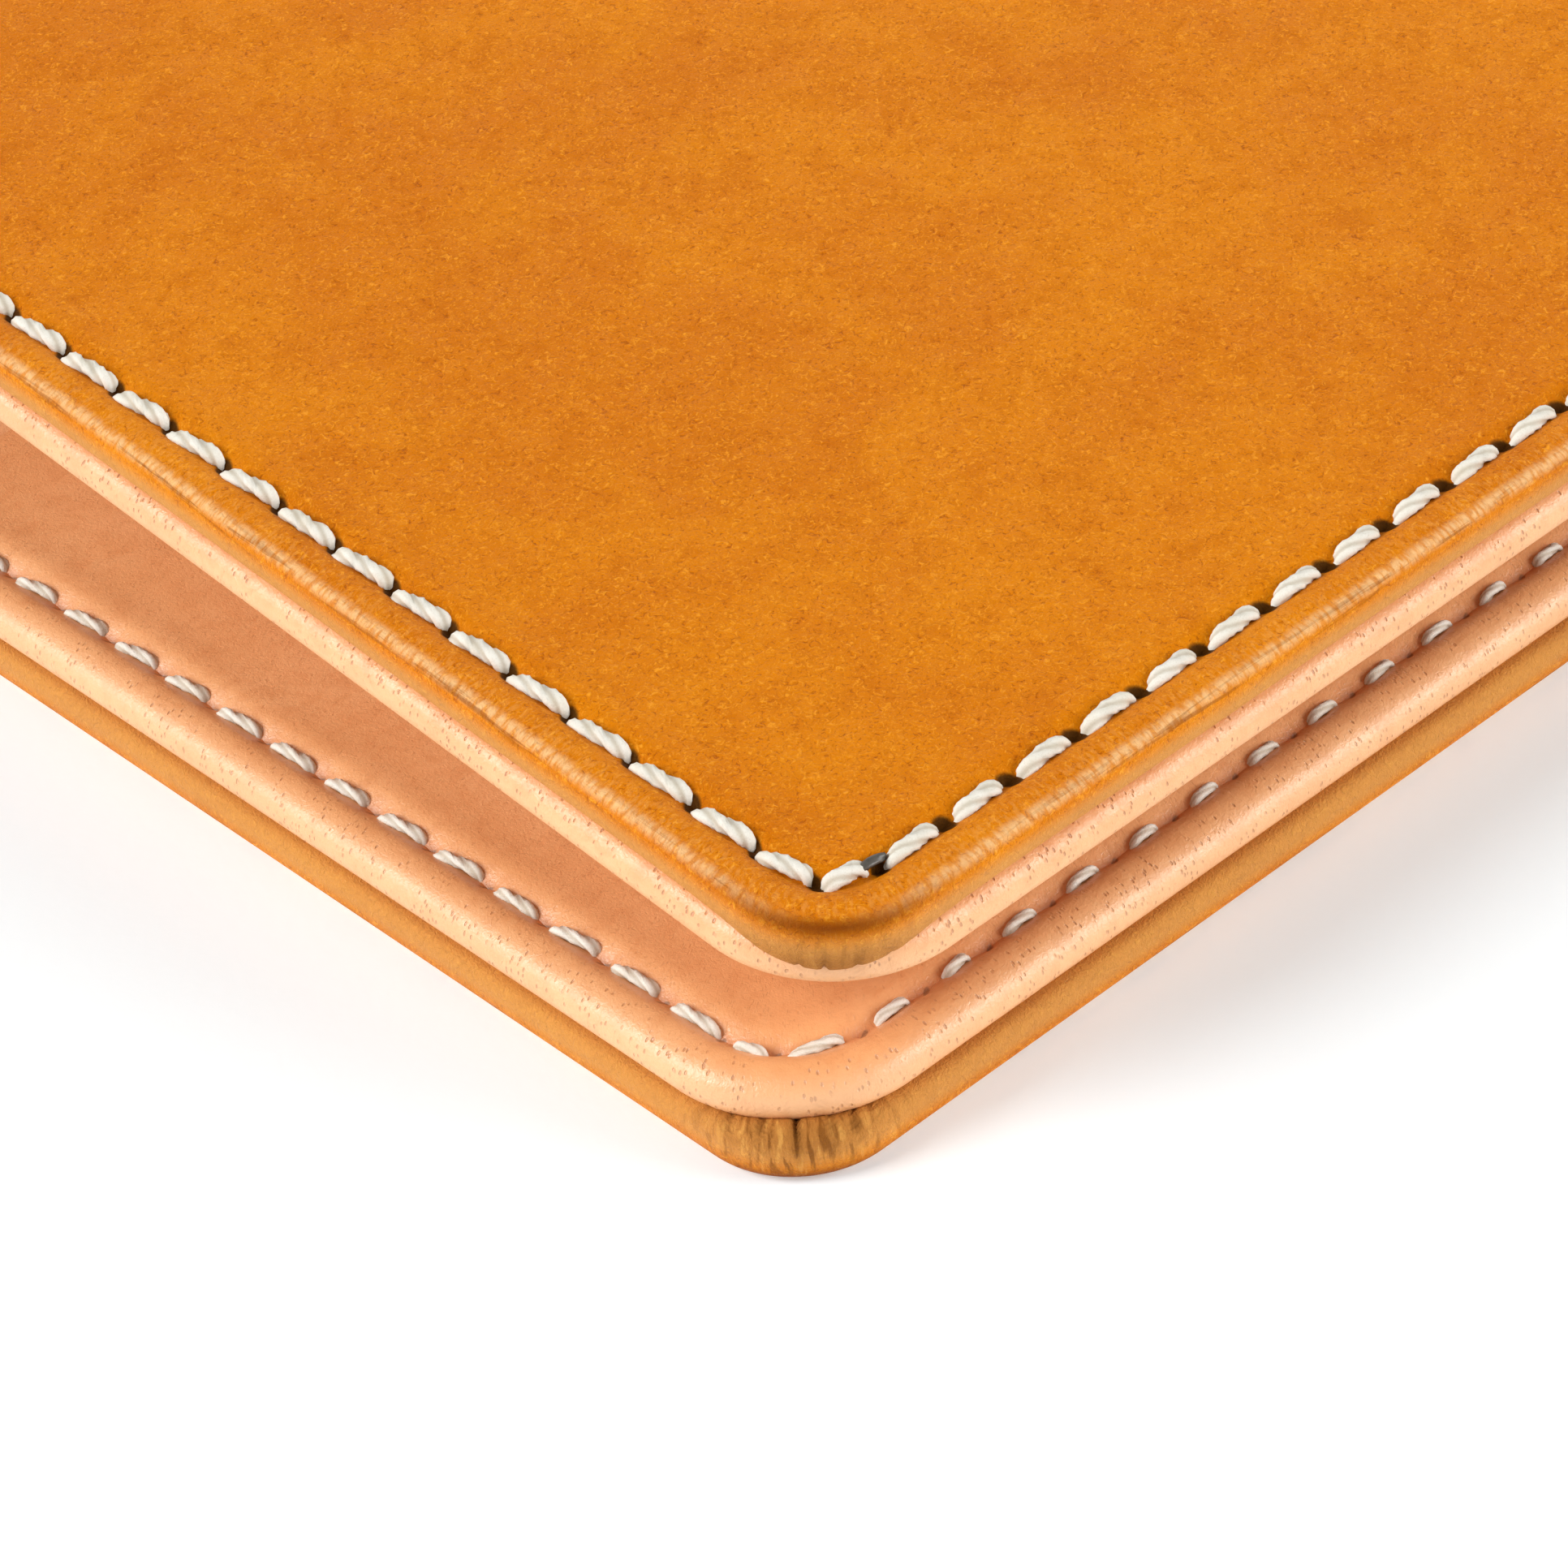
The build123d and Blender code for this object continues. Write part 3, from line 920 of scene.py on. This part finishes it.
def amber_leather():
    leather = Recipe("amber_waxed_leather")
    across = leather.stored("across")
    blotch = leather.noise(9.0, 3, 0.6, 0.4)
    mottle = leather.noise(1.5, 4, 0.62, 0.8)
    fibre = leather.noise(0.22, 3, 0.7, 1.4)
    grain = leather.noise(0.09, 2, 0.6)
    colour = leather.blend(leather.span(blotch, 0.35, 0.65), tone(210, 115, 4), tone(220, 127, 3))
    colour = leather.blend(leather.span(mottle, 0.45, 0.72, 0.0, 0.38), colour, tone(186, 92, 3))
    colour = leather.blend(leather.span(fibre, 0.52, 0.7, 0.0, 0.85), colour, tone(240, 158, 40))
    colour = leather.blend(leather.span(fibre, 0.45, 0.3, 0.0, 0.8), colour, tone(160, 72, 2))
    streak = leather.rim_noise(1.0, 4, 0.65, 0.4, 0.16, 2.6)
    # Painted light on the rim's side wall: it is made lighter and greyer gold, partly the rubbed edge's own
    # colour and partly the lamps' light falling on the wall.
    wall = leather.span(across, 0.55, -0.2)
    colour = leather.stain(colour, wall, 0.7, tone(200, 144, 80))
    # The bead's top is made lighter: partly rubbed wear, partly a painted highlight; the nap noise breaks
    # it into strokes.
    rub_and_highlight = leather.hump(across, 1.4, 0.75)
    nap = leather.rim_noise(0.14, 2, 0.6, 0.3, 1.0, 0.35)
    colour = leather.stain(colour, rub_and_highlight, leather.span(nap, 0.42, 0.66, 0.0, 0.25), tone(240, 176, 96))
    corner = leather.stored("corner")
    # A painted highlight: a pale line along the rim's shoulder, broken up by the hatch noise and left out
    # at the corners.
    hatch = leather.rim_noise(0.25, 2, 0.6, 0.0, 1.0, 0.3)
    painted_highlight = leather.times(leather.hump(across, 0.85, 0.4), leather.span(hatch, 0.35, 0.6, 0.2, 0.8))
    painted_highlight = leather.times(painted_highlight, leather.sums("SUBTRACT", 1.0, corner))
    colour = leather.blend(painted_highlight, colour, tone(246, 200, 142))
    streaked = leather.sums("MAXIMUM", leather.span(streak, 0.5, 0.62, 0.0, 0.6), corner)
    colour = leather.stain(colour, leather.hump(across, 0.65, 0.5), streaked, tone(128, 60, 7))
    # Painted shade: the lower part of the wall at the corners is darkened to brown.
    low = leather.times(corner, leather.span(across, 0.1, -0.5))
    colour = leather.stain(colour, low, 0.8, tone(168, 106, 48))
    ruck = leather.rim_noise(0.5, 3, 0.6, 0.3, 2.0, 0.45)
    below = leather.times(leather.stored("worn"), leather.span(across, 0.9, 0.0))
    below = leather.times(below, corner)
    dark = leather.times(leather.span(ruck, 0.5, 0.64, 0.0, 0.75), below)
    light = leather.times(leather.span(ruck, 0.46, 0.34, 0.0, 0.6), below)
    colour = leather.blend(dark, leather.blend(light, colour, tone(228, 166, 84)), tone(112, 60, 16))
    # A painted shadow along the hem's lower edge at the corners, where the pleated rim overhangs the tan
    # rim.
    lip = leather.times(corner, leather.hump(across, -1.75, 0.5))
    colour = leather.stain(colour, lip, 0.75, tone(84, 44, 14))
    slit = slit_mask(leather, MARGIN + 0.58, 0.5, 0.32, SLIT_LEAN)
    # Painted shade: darker beside the stitch row, in the channel that the thread pulls down.
    edge = leather.hump(across, MARGIN + 0.5, 0.45)
    colour = leather.stain(colour, edge, 0.4, tone(150, 74, 8))
    # Painted shade inside each awl slit.
    colour = leather.stain(colour, slit, 0.92, tone(40, 22, 8))
    # Painted shade in the creases of the pleated corners.
    crease = leather.stored("crease")
    colour = leather.stain(colour, crease, 0.85, tone(70, 34, 8))
    height = leather.sums("ADD", leather.times(fibre, 0.7), leather.times(grain, 0.3))
    rough = leather.span(mottle, 0.3, 0.7, 0.44, 0.58)
    leather.shader.inputs["Specular Tint"].default_value = (1.0, 0.55, 0.12, 1)
    return leather.finish(colour, rough, height, 0.1, 0.18)


# %% Tan leather
def tan_leather():
    leather = Recipe("tan_calf_leather")
    across = leather.stored("across")
    blotch = leather.noise(7.0, 3, 0.6, 0.3)
    mottle = leather.noise(0.8, 4, 0.6, 0.5)
    grain = leather.noise(0.14, 3, 0.6, 0.6)
    colour = leather.blend(leather.span(blotch, 0.35, 0.65), tone(232, 165, 109), tone(238, 174, 119))
    colour = leather.blend(leather.span(mottle, 0.4, 0.7, 0.0, 0.55), colour, tone(220, 148, 92))
    pore = leather.pores(5.6, 2.6)
    keep = leather.span(leather.noise(1.3, 2, 0.5), 0.34, 0.52)
    pore = leather.times(leather.span(pore, 0.3, 0.12), keep)
    pore = leather.times(pore, leather.span(across, 2.0, 1.0, 0.25, 1.0))
    colour = leather.stain(colour, pore, 0.6, tone(164, 94, 56))
    # The bead is made paler round its rim: partly rubbed wear, partly a painted highlight.
    rub_and_highlight = leather.hump(across, 0.3, 1.2)
    colour = leather.stain(colour, rub_and_highlight, 0.35, tone(244, 192, 146))
    slit = slit_mask(leather, MARGIN + 0.4, 0.26, 0.13, -SLIT_LEAN)
    # Painted shade: darker beside the stitch row, in the channel that the thread pulls down.
    edge = leather.hump(across, MARGIN + 0.5, 0.4)
    colour = leather.stain(colour, edge, 0.35, tone(200, 120, 78))
    # Painted shade inside each awl slit.
    colour = leather.stain(colour, slit, 0.6, tone(120, 82, 58))
    # Painted shade in the creases of the pleated corners.
    colour = leather.stain(colour, leather.stored("crease"), 0.6, tone(150, 84, 50))
    # A painted shadow on the tan rim at the corners, where it meets the amber hem.
    fold = leather.times(leather.stored("corner"), leather.hump(across, -1.3, 0.7))
    colour = leather.stain(colour, fold, 0.6, tone(150, 86, 46))
    wrinkle = leather.rim_noise(1.0, 3, 0.6, 0.2, 3.0, 0.8)
    height = leather.sums("ADD", leather.times(grain, 0.6), leather.times(wrinkle, 0.5))
    height = leather.sums("SUBTRACT", height, leather.times(pore, 0.6))
    rough = leather.span(mottle, 0.3, 0.7, 0.3, 0.42)
    return leather.finish(colour, rough, height, 0.05, 0.62)


# %% Lining, board and thread
def tan_lining():
    leather = Recipe("tan_skived_lining")
    nap = leather.noise(0.3, 4, 0.7, 1.0)
    cloud = leather.noise(5.0, 2, 0.5)
    colour = leather.blend(leather.span(cloud, 0.25, 0.75), tone(229, 164, 112), tone(233, 169, 118))
    colour = leather.blend(leather.span(nap, 0.4, 0.7, 0.0, 0.45), colour, tone(212, 143, 94))
    leather.shader.inputs["Sheen Weight"].default_value = 0.2
    return leather.finish(colour, 0.72, nap, 0.05, 0.3)


def fibre_board():
    board = Recipe("grey_fibre_board")
    strands = board.noise(0.6, 5, 0.75, 2.5)
    colour = board.blend(board.span(strands, 0.35, 0.65), tone(150, 132, 108), tone(182, 166, 142))
    return board.finish(colour, 0.9, strands, 0.05, 0.2)


def cream_thread():
    thread = Recipe("cream_waxed_thread")
    strand = thread.noise(0.05, 3, 0.6, 0.8)
    soil = thread.noise(1.2, 3, 0.6)
    colour = thread.blend(thread.span(soil, 0.4, 0.75, 0.0, 0.5), tone(243, 238, 226), tone(224, 213, 190))
    colour = thread.blend(thread.span(strand, 0.5, 0.3, 0.0, 0.3), colour, tone(190, 176, 150))
    # Painted shade in the grooves between the plies.
    groove = thread.span(thread.stored("ply"), 0.55, 0.0)
    colour = thread.blend(thread.times(groove, 0.5), colour, tone(172, 152, 118))
    return thread.finish(colour, 0.5, strand, 0.03, 0.4)


def melted_thread():
    stub = Recipe("melted_thread")
    char = stub.noise(0.2, 3)
    colour = stub.blend(char, tone(58, 54, 50), tone(104, 98, 90))
    return stub.finish(colour, 0.35, char, 0.02, 0.5)


finishes = {"amber_leather": amber_leather(), "tan_leather": tan_leather(), "tan_lining": tan_lining(),
            "board": fibre_board(), "cream_thread": cream_thread()}
print("finishes:", sorted(finishes))

# %% [markdown]
# ## Putting the finishes on
# The pieces made above stand for CAD nodes and take the finish of their slot. The stiff
# boards keep their CAD shape, because it is right, and only get the fibre board finish.


# %% Dress the pieces
def dress(piece, slot_name):
    piece.data.materials.clear()
    piece.data.materials.append(finishes[slot_name])


for side in ("back", "front"):
    dress(skins[side], "amber_leather")
    dress(pockets[side], "tan_leather")
    dress(linings[side], "tan_lining")
    dress(slots[side], "tan_leather")
    dress(threads[side, "outer"], "cream_thread")
    dress(threads[side, "inner"], "cream_thread")

thread_end.data.materials.clear()
thread_end.data.materials.append(melted_thread())
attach(thread_end, "front_cover")

node_finish = {"outer_leather": "amber_leather", "pocket_panel": "tan_leather", "card_slot": "tan_leather",
               "lining": "tan_lining", "thread": "cream_thread", "threads": "cream_thread"}
for name, node in nodes.items():
    found = [slot_name for ending, slot_name in node_finish.items() if name.endswith(ending)]
    finish = finishes[found[0] if found else "board"]
    for material_slot in node.material_slots:
        material_slot.material = finish

FLOOR_GLOW = (0.78, 1.0, 1.08, 1)                    # bluish, against the leather's warm bounce
GLOW_STRENGTH = 0.21
floor_recipe = Recipe("white_table")
floor_tone = floor_recipe.blend(floor_recipe.noise(30.0, 3), tone(236, 236, 236), tone(239, 239, 239))
floor_recipe.shader.inputs["Emission Color"].default_value = FLOOR_GLOW
floor_recipe.shader.inputs["Emission Strength"].default_value = GLOW_STRENGTH
floor.data.materials.append(floor_recipe.finish(floor_tone, 0.6, floor_recipe.noise(0.5, 2), 0.01, 0.2))
made = [*skins.values(), *linings.values(), *slots.values(), *pockets.values(), *threads.values()]
made.append(thread_end)
print("dressed", len(made), "pieces and", len(nodes), "CAD nodes")

# %% [markdown]
# ## Riding on the bodies
# What lies on a cover, the pocket panel and the card slot, rides on it. What crosses a
# fold, the outer leather, the lining and the thread, only has its transform baked into its
# points; the ends of each fold's arc are worked out but not used.


# %% Ride, and bake what crosses a fold
def fold_ends(side):
    """Where the arc begins and ends, both at x = 0, so that the bend runs square across."""
    ends = place(side, np.zeros(2), np.array((FLAT_START, FLAT_START - ARC_LENGTH)), np.zeros(2))
    ends[:, 0] = 0
    return [tuple(point * MM) for point in ends]


for side in ("back", "front"):
    body = side + "_cover"
    start, end = fold_ends(side)
    for piece in (skins[side], linings[side], threads[side, "outer"], threads[side, "inner"]):
        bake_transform(piece)
    for piece in (pockets[side], slots[side]):
        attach(piece, body)
    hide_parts(side + "_outer_leather")
    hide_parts(side + "_lining")
    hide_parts(side + "_pocket_panel")
    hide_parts(side + "_card_slot")
    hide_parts(side + "_rim_thread")
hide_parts("spine_outer_leather")
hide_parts("spine_lining")
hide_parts("spine_end_threads")
